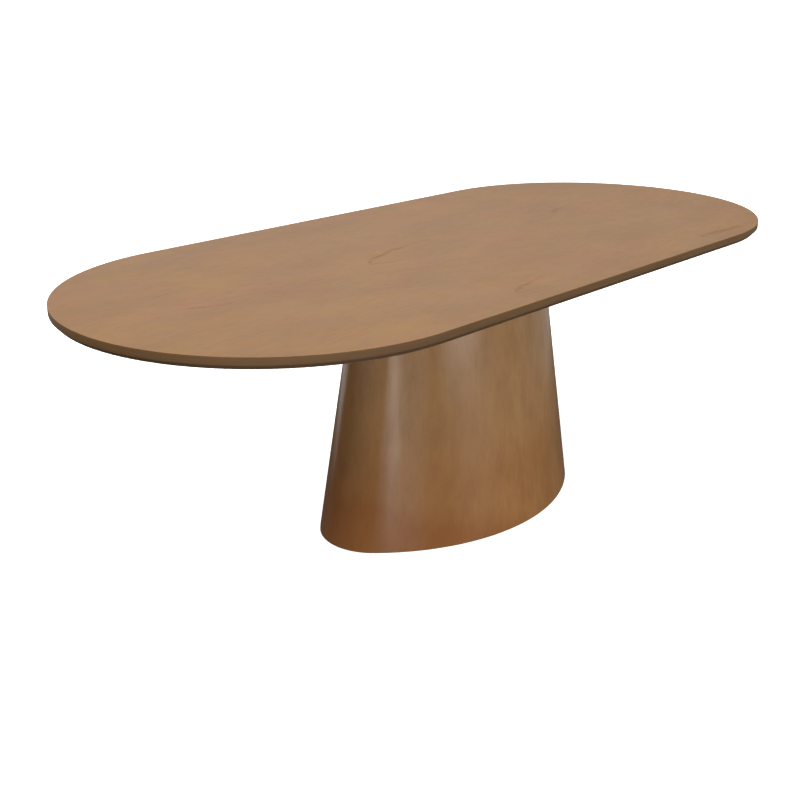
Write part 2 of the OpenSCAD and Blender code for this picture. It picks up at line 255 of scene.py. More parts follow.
def eased(corners, radii, steps=6):
    """Closed section with round corners, from its corner points and the radius of each.

    A corner's arc touches both of its sides. Its centre lies on the bisector at radius / sin(half the
    angle), and its points turn evenly from one side to the other.
    """
    corners = np.asarray(corners, float)
    radii = np.asarray(radii, float)[:, None]
    back = np.roll(corners, 1, axis=0) - corners
    ahead = np.roll(corners, -1, axis=0) - corners
    back /= np.linalg.norm(back, axis=1)[:, None]
    ahead /= np.linalg.norm(ahead, axis=1)[:, None]
    half = np.arccos(np.clip((back * ahead).sum(1), -1, 1))[:, None] / 2
    bisector = (back + ahead) / (2 * np.cos(half))
    centre = corners + bisector * radii / np.sin(half)
    start = corners + back * radii / np.tan(half) - centre
    finish = corners + ahead * radii / np.tan(half) - centre
    swing = math.pi - 2 * half[:, :, None]
    share = np.linspace(0, 1, steps + 1)[None, :, None]
    weight_start = np.sin((1 - share) * swing) / np.sin(swing)
    weight_finish = np.sin(share * swing) / np.sin(swing)
    arc = centre[:, None] + weight_start * start[:, None] + weight_finish * finish[:, None]
    return arc.reshape(-1, 2)


# Meshes


def woven(rows, columns, rows_closed, columns_closed):
    """Quads between neighbouring points of a grid, whose last row or column joins the first if closed."""
    i = np.arange(rows if rows_closed else rows - 1)[:, None]
    j = np.arange(columns if columns_closed else columns - 1)[None, :]
    next_i = (i + 1) % rows
    next_j = (j + 1) % columns
    corners = (i * columns + j, next_i * columns + j, next_i * columns + next_j, i * columns + next_j)
    return np.stack(np.broadcast_arrays(*corners), axis=-1).reshape(-1, 4)


def woven_map(u, v):
    """Map coordinates of the same quads, from the values u of the rows and v of the columns."""
    first_u, next_u = u[:-1, None], u[1:, None]
    first_v, next_v = v[None, :-1], v[None, 1:]
    corners = ((first_u, first_v), (next_u, first_v), (next_u, next_v), (first_u, next_v))
    shape = (len(u) - 1, len(v) - 1)
    pairs = [np.stack([np.broadcast_to(value, shape) for value in corner], axis=-1) for corner in corners]
    return np.stack(pairs, axis=-2).reshape(-1, 2)


def in_scene(name, data):
    """New object of a mesh, a light or a camera, in the scene."""
    thing = bpy.data.objects.new(name, data)
    bpy.context.scene.collection.objects.link(thing)
    return thing


def make_object(name, points, faces, finish, face_map=None):
    """Smooth object in the scene, whose map is in metres. Points that fall together are merged."""
    mesh = bpy.data.meshes.new(name)
    mesh.from_pydata(points.reshape(-1, 3).tolist(), [], faces)
    if face_map is not None:
        layer = mesh.uv_layers.new(name="metres")
        layer.data.foreach_set("uv", face_map.astype(np.float32).ravel())
    work = bmesh.new()
    work.from_mesh(mesh)
    bmesh.ops.remove_doubles(work, verts=work.verts, dist=1e-6)
    work.to_mesh(mesh)
    work.free()
    mesh.shade_smooth()
    mesh.materials.append(finish)
    return in_scene(name, mesh)


def make_piece(name, points, faces, face_map, finish, node, body):
    """Object in place of a node. Its edges are sharp from 35 degrees up."""
    piece = make_object(name, points, faces, finish, face_map)
    piece.data.set_sharp_from_angle(angle=math.radians(35))
    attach(piece, body)
    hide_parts(node)


def carried_piece(name, outline, section, finish, node, share=1.0, section_closed=True, plies=False):
    """Piece made of a section carried round an outline, with flat ends where the outline is open.

    The section runs anticlockwise as seen along the outline, as pairs of inset and height. The map gives
    the distance run along the outline and round the section, where plies have the inset instead.
    """
    grid = carried(outline, section[:, 0], section[:, 1], share)
    rows, columns = grid.shape[:2]
    faces = woven(rows, columns, outline.closed, section_closed).tolist()
    across = np.append(section[:, 0], section[0, 0]) if plies else distance_run(section, section_closed)
    face_map = woven_map(outline.run, across)
    if not outline.closed:
        first = list(range(columns))
        faces += [first, [(rows - 1) * columns + i for i in reversed(first)]]
        end_map = section[:, ::-1] if plies else section
        face_map = np.vstack([face_map, end_map, end_map[::-1]])
    make_piece(name, grid, faces, face_map, finish, node, "table")


def turned_grid(places, radius, height, turn):
    """Turned pieces on upright axes at each place, as one grid of points after another.

    The point at a turn and a step of the profile lies at the radius there from the axis.
    """
    x = radius * np.cos(turn)[:, None]
    y = radius * np.sin(turn)[:, None]
    one = np.dstack([x, y, np.broadcast_to(height, radius.shape)])
    offsets = np.column_stack([places, np.zeros(len(places))])
    return offsets[:, None, None, :] + one[None]


def turned_piece(name, places, radius, height, turns, finish, node, body):
    """Piece or set of like pieces turned on upright axes, whose profile starts and ends on the axis."""
    turn = np.linspace(0, math.tau, turns + 1)[:-1]
    grids = turned_grid(places, radius(turn), height, turn)
    count, rows, columns = grids.shape[:3]
    one = woven(rows, columns, True, False)
    faces = (one[None] + (np.arange(count) * rows * columns)[:, None, None]).reshape(-1, 4)
    run = np.linspace(0, math.tau, turns + 1) * float(np.max(radius(turn)))
    face_map = np.tile(woven_map(run, np.asarray(height, float)), (count, 1))
    make_piece(name, grids, faces.tolist(), face_map, finish, node, body)


# Finishes


class Graph:
    """Node graph of a material or of the surroundings."""

    def __init__(self, tree):
        self.tree = tree
        tree.nodes.clear()

    def feed(self, socket, value):
        """Links a socket to a node's output, or sets a plain value or a colour on it."""
        if isinstance(value, bpy.types.NodeSocket):
            self.tree.links.new(value, socket)
        elif socket.type == "RGBA":
            socket.default_value = (*value, 1.0)
        else:
            socket.default_value = value

    def node(self, kind, *values, **settings):
        """New node with the given settings, whose inputs get the given values in their order."""
        node = self.tree.nodes.new("ShaderNode" + kind)
        for name, setting in settings.items():
            setattr(node, name, setting)
        for socket, value in zip(node.inputs, values):
            self.feed(socket, value)
        return node

    def math(self, operation, *values):
        """Result of a sum on numbers or outputs."""
        return self.node("Math", *values, operation=operation).outputs[0]

    def split(self, vector):
        """X, Y and Z of a vector."""
        return tuple(self.node("SeparateXYZ", vector).outputs)

    def join(self, x, y, z):
        """Vector of three values."""
        return self.node("CombineXYZ", x, y, z).outputs[0]

    def noise(self, vector, stretch, detail=2.0, roughness=0.5):
        """Noise from 0 to 1, of about one wave per unit of the vector times one stretch or three."""
        mapping = self.node("Mapping", vector)
        mapping.inputs["Scale"].default_value = np.broadcast_to(stretch, 3).tolist()
        node = self.node("TexNoise", mapping.outputs[0])
        node.inputs["Scale"].default_value = 1.0
        node.inputs["Detail"].default_value = detail
        node.inputs["Roughness"].default_value = roughness
        return node.outputs["Fac"]

    def ramp(self, *values):
        """Smooth step from 0 to 1, or from a first to a last number, as a value goes from low to high."""
        return self.node("MapRange", *values, interpolation_type="SMOOTHSTEP").outputs[0]

    def blend(self, share, first, second):
        """Colour between two colours, by a share."""
        node = self.node("Mix", share, data_type="RGBA")
        self.feed(node.inputs[6], first)
        self.feed(node.inputs[7], second)
        return node.outputs[2]

    def layer(self, colour, value, low, high, strength, over):
        """Colour with another over it, up to a strength, as the value goes from low to high."""
        return self.blend(self.ramp(value, low, high, 0.0, strength), colour, over)


class Finish(Graph):
    """Material whose patterns read Object coordinates or the map."""

    def __init__(self, name):
        self.material = bpy.data.materials.new(name)
        self.material.use_nodes = True
        super().__init__(self.material.node_tree)
        self.shader = self.node("BsdfPrincipled")
        self.output = self.node("OutputMaterial", self.shader.outputs["BSDF"])
        texture = self.node("TexCoord")
        self.place = texture.outputs["Object"]
        self.map = texture.outputs["UV"]

    def bumpy(self, height, distance, strength=0.5):
        """Relief of the given height in metres."""
        node = self.node("Bump")
        node.inputs["Strength"].default_value = strength
        node.inputs["Distance"].default_value = distance
        self.feed(node.inputs["Height"], height)
        self.feed(self.shader.inputs["Normal"], node.outputs[0])

    def surface(self, **inputs):
        """Material whose shader's own sockets are set. Their names have _ for a space."""
        for name, value in inputs.items():
            self.feed(self.shader.inputs[name.replace("_", " ")], value)
        return self.material


def shaded(colour, *shares):
    """Colour whose red, green and blue are multiplied by a share each."""
    return tuple(value * share for value, share in zip(colour, shares))


Streak = namedtuple("Streak", "tip length climb half_width strength")

# Dark streaks of the top, in metres but for climb and strength
STREAKS = (
    Streak((-0.325, -0.005), 0.40, 0.170, 0.013, 1.00),
    Streak((-0.325, -0.005), 0.16, -0.080, 0.011, 0.60),
    Streak((-0.290, -0.448), 0.24, 0.135, 0.013, 0.75),
    Streak((0.540, -0.452), 0.40, -0.025, 0.020, 1.00),
    Streak((0.530, 0.042), 0.15, 0.130, 0.017, 0.90),
    Streak((-0.895, 0.012), 0.14, -0.130, 0.015, 0.75),
)


def grain_streak(f, x, y, streak, blunt=0.012):
    """Dark streak like those at the tip of a cathedral figure, as a share from 0 to its strength.

    From its blunt tip the streak runs along X and climbs by a multiple of the root of the distance, and it
    fades out over its length.
    """
    tip_x, tip_y = streak.tip
    ahead = f.math("MAXIMUM", f.math("SUBTRACT", x, tip_x), 0.0)
    line = f.math("MULTIPLY_ADD", f.math("SQRT", ahead), streak.climb, tip_y)
    off = f.math("ABSOLUTE", f.math("SUBTRACT", y, line))
    on_line = f.ramp(off, 0.0, streak.half_width, 1.0, 0.0)
    started = f.ramp(x, tip_x - blunt, tip_x + blunt)
    fading = f.ramp(ahead, 0.25 * streak.length, streak.length, streak.strength, 0.0)
    return f.math("MULTIPLY", f.math("MULTIPLY", on_line, started), fading)


def growth_rings(f, x, y, first_heart=-0.43, heart_gap=0.45, tip_radius=0.02, slant=0.11, density=62.0):
    """Growth rings of flat cut veneer, as a share from 0 to 1.

    They are level lines of the distance from the nearest heart line less a share of X, so they make nested
    arches that open to the right. Each is the fourth power of a wave from 0 to 1, moved about by a noise.
    """
    heart = f.math("PINGPONG", f.math("ADD", y, 2 * heart_gap - first_heart), heart_gap / 2)
    arch = f.math("SQRT", f.math("MULTIPLY_ADD", heart, heart, tip_radius**2))
    ring_place = f.math("MULTIPLY_ADD", x, -slant, arch)
    waver = f.noise(f.join(x, y, 0), (2.5, 14, 1), detail=3)
    phase = f.math("ADD", f.math("MULTIPLY", ring_place, density), f.math("MULTIPLY", waver, 2.4))
    wave = f.math("SINE", f.math("MULTIPLY", phase, math.tau))
    return f.math("POWER", f.math("MULTIPLY_ADD", wave, 0.5, 0.5), 4.0)


def swayed(f, value, noise, reach):
    """Value moved to both sides by up to half the reach, by a noise from 0 to 1."""
    return f.math("MULTIPLY_ADD", noise, reach, f.math("SUBTRACT", value, reach / 2))


def top_face_finish(colours):
    """Flat cut veneer in matt satin lacquer, with its grain along X.

    Three clouds drift over it: from amber to grey, to rose, and to the dark grain. Growth rings show in
    patches, fibres, dashes and flecks are short, and a few dark streaks lie at the tips of the figure.
    """
    f = Finish("top_veneer_finish")
    x, y, _ = f.split(f.place)
    bent_y = swayed(f, y, f.noise(f.place, (1.1, 3.2, 1)), 0.07)
    warmth = f.noise(f.place, (4.6, 8, 11), detail=4, roughness=0.75)
    blush = f.noise(f.place, (5.2, 9.5, 23), detail=4, roughness=0.75)
    cloud = f.noise(f.place, (3.6, 8.5, 37), detail=5, roughness=0.8)
    colour = f.blend(f.ramp(warmth, 0.36, 0.64), colours.top_amber, colours.top_grey)
    colour = f.layer(colour, blush, 0.42, 0.66, 0.6, colours.top_rose)
    colour = f.layer(colour, cloud, 0.36, 0.64, 0.34, colours.top_dark)

    patchy = f.ramp(f.noise(f.place, (3.4, 9, 1)), 0.46, 0.68, 0, 0.20)
    rings = f.math("MULTIPLY", growth_rings(f, x, bent_y), patchy)
    colour = f.blend(rings, colour, colours.top_dark)

    grain = f.join(x, bent_y, 0.0)
    fibre = f.noise(grain, (17, 240, 1), detail=3, roughness=0.6)
    colour = f.layer(colour, fibre, 0.48, 0.8, 0.18, colours.top_dark)
    dashes = f.noise(grain, (34, 620, 1), detail=1)
    colour = f.layer(colour, dashes, 0.66, 0.78, 0.20, colours.top_dark)
    flecks = f.noise(grain, (22, 105, 1))
    colour = f.layer(colour, flecks, 0.63, 0.78, 0.7, colours.top_mark)

    streak_y = swayed(f, y, f.noise(f.place, (11, 16, 1), detail=4, roughness=0.7), 0.036)
    marks = 0.0
    for streak in STREAKS:
        marks = f.math("ADD", marks, grain_streak(f, x, streak_y, streak))
    crumble = f.noise(f.place, (26, 55, 1), detail=3, roughness=0.7)
    broken = f.ramp(crumble, 0.32, 0.64, 0.1, 1.0)
    marks = f.math("MULTIPLY", f.math("MINIMUM", marks, 1.0), broken)
    colour = f.blend(f.math("MULTIPLY", marks, 0.5), colour, colours.top_mark)

    relief = f.math("SUBTRACT", fibre, f.ramp(dashes, 0.66, 0.78, 0.0, 0.6))
    f.bumpy(relief, distance=0.00006)
    sheen = f.math("MULTIPLY_ADD", marks, 0.12, f.ramp(fibre, 0.3, 0.7, 0.50, 0.42))
    return f.surface(Base_Color=colour, Roughness=sheen, IOR=1.45)


def edge_finish(colours):
    """Stained solid wood whose grain follows the map: first along the edge, then round its section."""
    f = Finish("edge_lipping_finish")
    lines = f.noise(f.map, (6, 520, 1), detail=4, roughness=0.6)
    slow = f.noise(f.place, (5, 5, 30))
    share = f.math("MULTIPLY_ADD", f.ramp(slow, 0.3, 0.7), 0.35, f.ramp(lines, 0.42, 0.75, 0.0, 0.5))
    colour = f.blend(share, colours.edge, colours.edge_dark)
    f.bumpy(lines, distance=0.00008)
    rough = f.ramp(slow, 0.3, 0.7, 0.54, 0.62)
    return f.surface(Base_Color=colour, Roughness=rough, IOR=1.45, Specular_IOR_Level=0.35)


def pedestal_finish(colours, pedestal):
    """Straight cut veneer in satin lacquer whose grain runs up the leaning wall.

    X and Y are divided by the wall's share at each height, so a line of the grain keeps its place on the
    oval and leans in with the wall. The colour turns from amber to red downwards, most in the lower third
    and at the floor, and to the left. This is partly the veneer's own tone and partly painted light:
    painted sheen up high, and painted shade and warm bounce light at the foot and on the left side, under
    the top's overhang.
    """
    f = Finish("pedestal_veneer_finish")
    x, y, z = f.split(f.place)
    share = f.math("MULTIPLY_ADD", z, -(1 - pedestal.taper) / pedestal.head, 1.0)
    round_x = f.math("DIVIDE", x, share)
    round_y = f.math("DIVIDE", y, share)
    spot = f.join(round_x, round_y, z)
    wander = f.noise(spot, (5, 5, 2.4))
    drift = f.math("MULTIPLY", wander, 0.02)
    bent = f.join(f.math("ADD", drift, round_x), f.math("ADD", drift, round_y), z)

    cloud = f.noise(spot, (9, 9, 4), detail=4, roughness=0.6)
    # Redder downwards and to the left: partly the veneer's tone, partly painted shade under the top's
    # overhang and painted loss of sheen lower down
    lower_tone_and_shade = f.math("MULTIPLY_ADD", x, -0.45, f.ramp(z, 0.20, 0.50, 0.41, 0.11))
    lower_third_tone_and_shade = f.ramp(z, 0.16, 0.28, 0.19, 0.0)
    # Redder and darker at the foot, most on the left: painted contact shade at the floor
    painted_foot_shade = f.ramp(f.math("MULTIPLY_ADD", x, 0.30, z), -0.05, 0.06, 0.30, 0.0)
    red = f.math("ADD", f.math("ADD", lower_tone_and_shade, lower_third_tone_and_shade), painted_foot_shade)
    red = f.math("ADD", red, f.ramp(cloud, 0.3, 0.7, -0.10, 0.10))
    red = f.math("MAXIMUM", f.math("MINIMUM", red, 1.0), 0.0)
    colour = f.blend(red, colours.pedestal, colours.pedestal_red_and_shade)

    mottle = f.noise(bent, (24, 24, 9), detail=5, roughness=0.7)
    colour = f.layer(colour, mottle, 0.38, 0.72, 0.22, colours.pedestal_dark)
    fibre = f.noise(bent, (240, 240, 16), detail=3, roughness=0.6)
    colour = f.layer(colour, fibre, 0.45, 0.78, 0.11, colours.pedestal_dark)
    dashes = f.noise(bent, (480, 480, 42), detail=1)
    colour = f.layer(colour, dashes, 0.70, 0.80, 0.20, colours.pedestal_dark)

    relief = f.math("SUBTRACT", fibre, f.ramp(dashes, 0.70, 0.80, 0.0, 0.6))
    f.bumpy(relief, distance=0.00003)
    return f.surface(Base_Color=colour, Roughness=f.ramp(mottle, 0.3, 0.7, 0.20, 0.25), IOR=1.5)


def board_finish(colours):
    """Fibreboard: fine fibres in a warm tan, with a slow change of tone."""
    f = Finish("fibreboard_finish")
    fine = f.noise(f.place, 900, detail=3, roughness=0.7)
    slow = f.noise(f.place, (14, 14, 30))
    dark = shaded(colours.board, 0.62, 0.58, 0.54)
    share = f.math("MULTIPLY_ADD", f.ramp(fine, 0.3, 0.7), 0.55, f.math("MULTIPLY", slow, 0.25))
    colour = f.blend(share, colours.board, dark)
    f.bumpy(fine, distance=0.0001, strength=0.6)
    return f.surface(Base_Color=colour, Roughness=0.86, IOR=1.45)


def plywood_finish(name, colours, axis, ply=0.0018):
    """Plywood: plies in turn light and dark across the thickness, with face grain on the rest.

    The axis is X or Y for a flat rib, whose thickness lies along it, and inset for a shell, whose map gives
    the distance in from its outline.
    """
    f = Finish(name)
    source, number = {"X": (f.place, 0), "Y": (f.place, 1), "inset": (f.map, 1)}[axis]
    thickness = f.split(source)[number]
    ripple = f.noise(f.place, 40)
    layer = f.math("PINGPONG", f.math("MULTIPLY_ADD", ripple, 0.0004, thickness), ply)
    cross = f.ramp(layer, 0.42 * ply, 0.58 * ply)
    grain = f.noise(f.place, (160, 160, 5), detail=4, roughness=0.6)
    brown = shaded(colours.ply, 0.72, 0.64, 0.56)
    face = f.blend(f.ramp(grain, 0.35, 0.75), colours.ply, brown)
    colour = f.blend(f.math("MULTIPLY", cross, 0.7), face, colours.ply_cross)
    f.bumpy(grain, distance=0.0001)
    return f.surface(Base_Color=colour, Roughness=0.7, IOR=1.45)


def backing_finish(colours):
    """Plain backing veneer under the top, sealed but not polished, with its grain along X."""
    f = Finish("backing_veneer_finish")
    fibre = f.noise(f.place, (4, 200, 4), detail=4, roughness=0.6)
    slow = f.noise(f.place, (1.5, 6, 1.5))
    share = f.math("MULTIPLY_ADD", f.ramp(fibre, 0.4, 0.75), 0.45, f.math("MULTIPLY", slow, 0.4))
    dark = shaded(colours.backing, 0.6, 0.56, 0.5)
    colour = f.blend(share, colours.backing, dark)
    f.bumpy(fibre, distance=0.0001)
    return f.surface(Base_Color=colour, Roughness=0.62, IOR=1.45)


def metal_finish(name, colour, roughness, grain):
    """Plated or bare metal with fine marks and cloudy dull spots."""
    f = Finish(name)
    fine = f.noise(f.place, grain, detail=3, roughness=0.6)
    cloud = f.noise(f.place, 60, detail=3)
    dull = shaded(colour, 0.74, 0.74, 0.76)
    mixed = f.blend(f.ramp(cloud, 0.35, 0.7, 0.0, 0.7), colour, dull)
    f.bumpy(fine, distance=0.00005, strength=0.6)
    rough = f.math("MULTIPLY_ADD", f.ramp(cloud, 0.3, 0.7), 0.14, roughness)
    return f.surface(Base_Color=mixed, Roughness=rough, Metallic=1.0)


def plastic_finish(colours):
    """Moulded plastic with a fine spark grain and slightly worn, paler high spots."""
    f = Finish("pad_plastic_finish")
    spark = f.noise(f.place, 1500)
    wear = f.noise(f.place, 90, detail=3)
    worn = shaded(colours.plastic, 2.4, 2.4, 2.4)
    colour = f.blend(f.ramp(wear, 0.5, 0.75), colours.plastic, worn)
    f.bumpy(spark, distance=0.00004, strength=0.7)
    return f.surface(Base_Color=colour, Roughness=f.ramp(wear, 0.3, 0.7, 0.48, 0.62), IOR=1.5)


def dress(nodes, finish):
    """Gives CAD nodes that stay in view their finish."""
    for node in nodes:
        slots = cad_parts[node].data.materials
        slots.clear()
        slots.append(finish)


# Pieces


class TABLE_OT_top_face(Operator):
    """Face veneer of the top: a flat sheet with half round ends whose rim turns down over the arris"""

    bl_idname = "table.top_face"
    bl_label = "Top Face"

    def execute(self, context):
        top = context.scene.table_top
        under = top.height - top.veneer
        first_turn = math.asin(1 - top.veneer / top.arris)
        turn = np.linspace(first_turn, math.pi / 2, 7)
        rim = np.column_stack([
            top.arris * (1 - np.cos(turn)),
            top.height - top.arris * (1 - np.sin(turn)),
        ])
        # Rows of points, close together at the rim and further apart towards the spine
        spine = top.width / 2
        below = [(inset, under) for inset in (spine, 0.36, 0.1, 0.01)]
        inward = [(top.arris + step, top.height) for step in (0.0006, 0.004, 0.02, 0.08, 0.2, 0.36)]
        section = np.vstack([below, rim, inward, [(spine, top.height)]])
        finish = top_face_finish(context.scene.table_finishes)
        outline = top_outline(top)
        carried_piece("top_face", outline, section, finish, "top_veneer", section_closed=False)
        return {"FINISHED"}


def lipping_section(top):
    """Section of the lipping under the veneer: bevel, soft corner, upright band and lower arris."""
    band_foot = top.height - top.band
    corners = [
        (top.lipping, top.foot),
        (top.undercut, top.foot),
        (0.0, band_foot),
        (0.0, top.height),
        (top.lipping, top.height),
    ]
    sharp = 0.0001
    section = eased(corners, [sharp, top.soft, top.soft, top.arris, sharp])
    section[:, 1] = np.minimum(section[:, 1], top.height - top.veneer)
    return section


class TABLE_OT_lippings(Operator):
    """Solid wood lippings: two straight strips and two bent ends with an undercut bevel"""

    bl_idname = "table.lippings"
    bl_label = "Edge Lippings"

    def execute(self, context):
        top = context.scene.table_top
        section = lipping_section(top)
        finish = edge_finish(context.scene.table_finishes)
        outlines = {
            "front": side_outline(top, -1),
            "rear": side_outline(top, 1),
            "left": end_outline(top, -1),
            "right": end_outline(top, 1),
        }
        for place, outline in outlines.items():
            carried_piece(f"edge_{place}", outline, section, finish, f"lipping_{place}")
        return {"FINISHED"}


class TABLE_OT_top_inside(Operator):
    """Finishes of the core board and of the backing veneer under it"""

    bl_idname = "table.top_inside"
    bl_label = "Core and Backing"

    def execute(self, context):
        colours = context.scene.table_finishes
        dress(["top_core"], board_finish(colours))
        dress(["backing_veneer"], backing_finish(colours))
        return {"FINISHED"}


def wall_section(pedestal, outer, inner, steps=24):
    """Closed section of the leaning wall between two insets, and the oval's share at each point."""
    height = np.linspace(pedestal.foot, pedestal.head, steps + 1)
    outside = np.column_stack([np.full_like(height, outer), height])
    inside = np.column_stack([np.full_like(height, inner), height[::-1]])
    section = np.vstack([outside, inside])
    share = 1 - (1 - pedestal.taper) * section[:, 1] / pedestal.head
    return section, share


class TABLE_OT_pedestal_face(Operator):
    """Wrap of veneer round the pedestal, an oval of four arcs that narrows evenly towards the top"""

    bl_idname = "table.pedestal_face"
    bl_label = "Pedestal Face"

    def execute(self, context):
        pedestal = context.scene.table_pedestal
        section, share = wall_section(pedestal, 0.0, pedestal.veneer)
        outline = oval_outline(pedestal, 0.0, math.tau, 360, closed=True)
        finish = pedestal_finish(context.scene.table_finishes, pedestal)
        carried_piece("pedestal_face", outline, section, finish, "pedestal_veneer", share)
        return {"FINISHED"}


class TABLE_OT_shells(Operator):
    """Half shells of bent plywood behind the veneer, each round one side of the oval"""

    bl_idname = "table.shells"
    bl_label = "Plywood Shells"

    def execute(self, context):
        pedestal = context.scene.table_pedestal
        outer = pedestal.veneer + pedestal.glue
        section, share = wall_section(pedestal, outer, outer + pedestal.shell, steps=12)
        finish = plywood_finish("bent_plywood_finish", context.scene.table_finishes, "inset")
        for place, first in (("rear", 0.0), ("front", math.pi)):
            outline = oval_outline(pedestal, first, first + math.pi, 180, closed=False)
            node = f"shell_{place}"
            carried_piece(f"bent_{node}", outline, section, finish, node, share, plies=True)
        return {"FINISHED"}


class TABLE_OT_formers_and_ribs(Operator):
    """Finishes of the head plate, the two rings and the six ribs inside the pedestal"""

    bl_idname = "table.formers_and_ribs"
    bl_label = "Formers and Ribs"

    def execute(self, context):
        colours = context.scene.table_finishes
        dress(["head_plate", "mid_former", "base_former"], board_finish(colours))
        side_ribs = ["rib_front_left", "rib_front_right", "rib_rear_left", "rib_rear_right"]
        dress(side_ribs, plywood_finish("side_rib_finish", colours, "X"))
        dress(["rib_left", "rib_right"], plywood_finish("end_rib_finish", colours, "Y"))
        return {"FINISHED"}


class TABLE_OT_steel_and_brass(Operator):
    """Finishes of the channels, screws, washers and threaded inserts"""

    bl_idname = "table.steel_and_brass"
    bl_label = "Steel and Brass"

    def execute(self, context):
        colours = context.scene.table_finishes
        rolled = metal_finish("rolled_steel_finish", colours.steel, 0.34, (6, 900, 900))
        turned = metal_finish("screw_steel_finish", colours.steel, 0.28, (700, 700, 2500))
        dress(["channel_front", "channel_rear"], rolled)
        dress(["channel_screws_set", "rib_screws", "bolt_washers"], turned)
        brass = metal_finish("brass_finish", colours.brass, 0.3, (700, 700, 2500))
        dress(["top_inserts", "foot_inserts"], brass)
        return {"FINISHED"}


def middle_of(low, high):
    """Middle of a box in plan, as the one place of a turned piece."""
    return np.array([[(low.x + high.x) / 2, (low.y + high.y) / 2]])


def hexagon_reach(turn, flats):
    """Distance from the axis to a hexagon's side: half its width / cos(turn from the side's middle)."""
    off_flat = (turn + math.pi / 6) % (math.pi / 3) - math.pi / 6
    return flats / 2 / np.cos(off_flat)


class TABLE_OT_table_bolts(Operator):
    """Hexagon bolts that hold the top, with chamfered heads"""

    bl_idname = "table.table_bolts"
    bl_label = "Table Bolts"

    def execute(self, context):
        sizes = context.scene.table_fasteners
        low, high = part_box("table_bolts")
        seat = low.z + sizes.bolt_head
        head_chamfer = 0.0011
        tip_chamfer = 0.001
        rim = low.z + head_chamfer * np.array([0.0, 0.3, 0.65, 1.0])
        height = np.array([low.z, *rim, seat, seat, seat, high.z - tip_chamfer, high.z, high.z])
        limit = sizes.bolt_flats / 2 * np.array([0.0, 0.97, 1.03, 1.08, 1.12, 1.2, 1.2])
        shank = sizes.bolt / 2 * np.array([1.0, 1.0, 0.8, 0.0])

        def radius(turn):
            head = np.minimum(hexagon_reach(turn, sizes.bolt_flats)[:, None], limit[None, :])
            return np.hstack([head, np.broadcast_to(shank, (len(turn), len(shank)))])

        x = (high.x - low.x - 2 * sizes.bolt_flats / math.sqrt(3)) / 2
        y = (high.y - low.y - sizes.bolt_flats) / 2
        places = np.array([[i * x, j * y] for i in (-1, 0, 1) for j in (-1, 1)])
        colour = context.scene.table_finishes.steel
        finish = metal_finish("bolt_steel_finish", colour, 0.3, 600)
        turned_piece("hexagon_bolts", places, radius, height, 72, finish, "table_bolts", "table")
        return {"FINISHED"}


class TABLE_OT_feet(Operator):
    """Six levelling feet, each a moulded pad with soft edges on a threaded stud"""

    bl_idname = "table.feet"
    bl_label = "Levelling Feet"

    def execute(self, context):
        sizes = context.scene.table_fasteners
        colours = context.scene.table_finishes
        plastic = plastic_finish(colours)
        steel = metal_finish("stud_steel_finish", colours.steel, 0.28, 500)
        for place in FEET:
            self.pad(place, sizes, plastic)
            self.stud(place, sizes, steel)
        return {"FINISHED"}

    def pad(self, place, sizes, finish, groove_depth=0.0005, groove_reach=0.0008):
        """Pad: a turned profile with every corner eased and a shallow grip groove round its side."""
        node = f"pad_{place}"
        low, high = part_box(node)
        reach = (high.x - low.x) / 2
        middle = (low.z + sizes.pad_chamfer + high.z) / 2
        # Distance from the axis, height and radius of each corner, of which the first two aren't used
        corners = np.array([
            (0.3 * reach, high.z, 0.0001),
            (0.3 * reach, low.z, 0.0001),
            (reach - sizes.pad_chamfer, low.z, 0.0012),
            (reach, low.z + sizes.pad_chamfer, 0.0012),
            (reach, middle - groove_reach, 0.0003),
            (reach - groove_depth, middle, 0.0003),
            (reach, middle + groove_reach, 0.0003),
            (reach, high.z, 0.0008),
        ])
        points = eased(corners[:, :2], corners[:, 2])
        outer = points[2 * (len(points) // len(corners)):]
        tread = [(0.0, low.z), (0.6 * reach, low.z)]
        crown = [(0.6 * reach, high.z), (0.0, high.z)]
        profile = np.vstack([tread, outer, crown])

        def radius(turn):
            return np.broadcast_to(profile[:, 0], (len(turn), len(profile)))

        axis = middle_of(low, high)
        body = f"foot_{place}"
        turned_piece(f"foot_{node}", axis, radius, profile[:, 1], 96, finish, node, body)

    def stud(self, place, sizes, finish, steps_per_pitch=8, fading=0.6):
        """Stud: its thread is a ridge whose height falls evenly to both sides of a helix of its pitch.

        From both ends of the stud the ridge rises out of the thread's root by a share of the distance.
        """
        node = f"stud_{place}"
        low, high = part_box(node)
        steps = round((high.z - low.z) / sizes.pitch) * steps_per_pitch
        inner = np.linspace(low.z, high.z, steps + 1)
        height = np.concatenate([[low.z], inner, [high.z]])

        def radius(turn):
            wave = (inner[None, :] / sizes.pitch - turn[:, None] / math.tau) % 1.0
            ridge = sizes.stud / 2 - sizes.thread * np.abs(2 * wave - 1)
            from_end = np.minimum(inner - low.z, high.z - inner)
            rising = from_end * fading + sizes.stud / 2 - sizes.thread
            nothing = np.zeros((len(turn), 1))
            return np.hstack([nothing, np.minimum(ridge, rising), nothing])

        axis = middle_of(low, high)
        turned_piece(f"foot_{node}", axis, radius, height, 32, finish, node, f"foot_{place}")


# Stage


WHITE = (1.0, 1.0, 1.0)
SoftBox = namedtuple("SoftBox", "azimuth elevation wide tall roll radiance colour", defaults=[WHITE])

